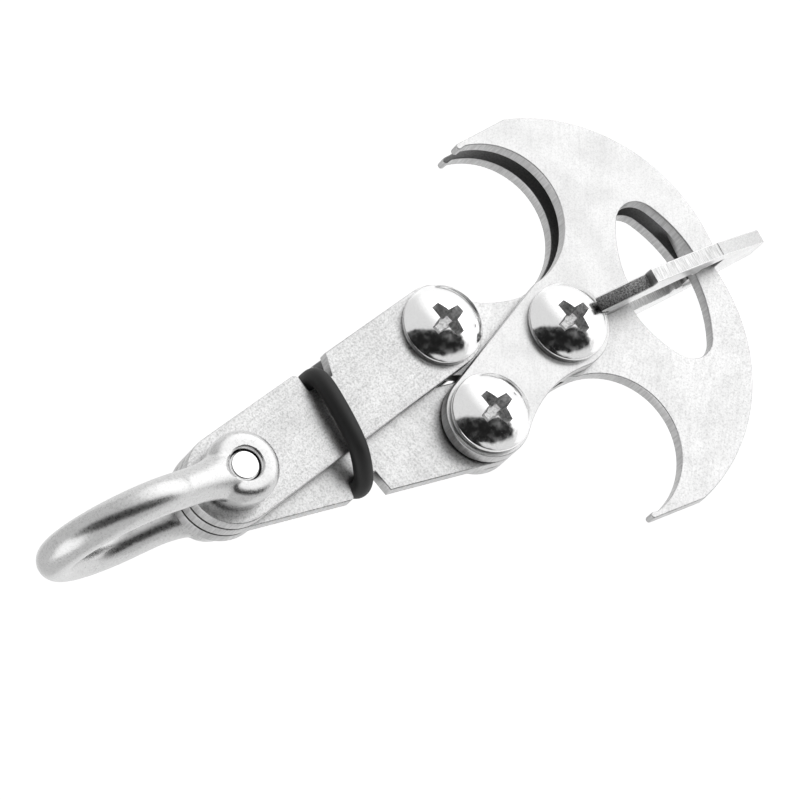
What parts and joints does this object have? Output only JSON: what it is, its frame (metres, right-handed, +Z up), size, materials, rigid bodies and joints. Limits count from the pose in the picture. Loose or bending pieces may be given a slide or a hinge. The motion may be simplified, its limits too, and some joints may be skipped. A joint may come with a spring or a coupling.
{
  "type": "grapnel anchor",
  "caption": "Folding steel grapnel: scissor plates with hooked claws, a cross claw on the axis, a bow shackle on top and a rubber ring round the arms.",
  "frame": {"origin": "the point where a rope bears on the inside of the shackle's bow", "axes": "+Z up along the hanging anchor, -Y the side with the screw heads, +X towards the upper claw, which has two plates"},
  "size_m": [0.082, 0.0368, 0.1644],
  "materials": {
    "plate_steel": "fine blasted stainless plate, laser-cut edges",
    "fastener_steel": "polished stainless",
    "shackle_steel": "tumbled and polished stainless",
    "rubber": "black, soft sheen"
  },
  "bodies": {
    "shackle": {"shackle_bow": "shackle_steel", "shackle_pin": "shackle_steel"},
    "upper_arm": {"upper_arm_front_plate": "plate_steel", "upper_arm_back_plate": "plate_steel", "upper_pivot_screw": "fastener_steel", "upper_barrel_nut": "fastener_steel", "upper_front_washer": "fastener_steel", "upper_back_washer": "fastener_steel", "shackle_front_washer": "fastener_steel", "shackle_back_washer": "fastener_steel", "o_ring": "rubber"},
    "lower_arm": {"lower_arm_plate": "plate_steel"},
    "upper_claw": {"upper_claw_front_plate": "plate_steel", "upper_claw_back_plate": "plate_steel", "cross_claw": "plate_steel", "lower_pivot_screw": "fastener_steel", "lower_barrel_nut": "fastener_steel", "lower_front_washer": "fastener_steel", "lower_back_washer": "fastener_steel", "centre_pivot_screw": "fastener_steel", "centre_barrel_nut": "fastener_steel", "centre_front_washer": "fastener_steel", "centre_back_washer": "fastener_steel"},
    "lower_claw": {"lower_claw_plate": "plate_steel"}
  },
  "joints": [
    {"name": "shackle_swing", "type": "hinge", "parent": "shackle", "child": "upper_arm", "pos_m": [-0.00134, 0, -0.03207], "axis": [0, 1, 0], "range_deg": [-135, 110]},
    {"name": "arm_spread", "type": "hinge", "parent": "upper_arm", "child": "lower_arm", "pos_m": [-0.00134, 0, -0.03207], "axis": [0, 1, 0], "range_deg": [0, 25], "stiffness_Nm_per_rad": 0.4, "springref_deg": -17.19, "deforming": ["o_ring"]},
    {"name": "lower_claw_fold", "type": "hinge", "parent": "upper_arm", "child": "lower_claw", "pos_m": [0.00816, 0, -0.08523], "axis": [0, 1, 0], "range_deg": [0, 44]},
    {"name": "upper_claw_fold", "type": "hinge", "parent": "lower_arm", "child": "upper_claw", "pos_m": [-0.01084, 0, -0.08523], "axis": [0, 1, 0], "range_deg": [-44, 0]}
  ],
  "couplings": [
    {"joint": "lower_claw_fold", "follows": "arm_spread", "ratio": 1.743},
    {"joint": "upper_claw_fold", "follows": "arm_spread", "ratio": -1.743}
  ]
}
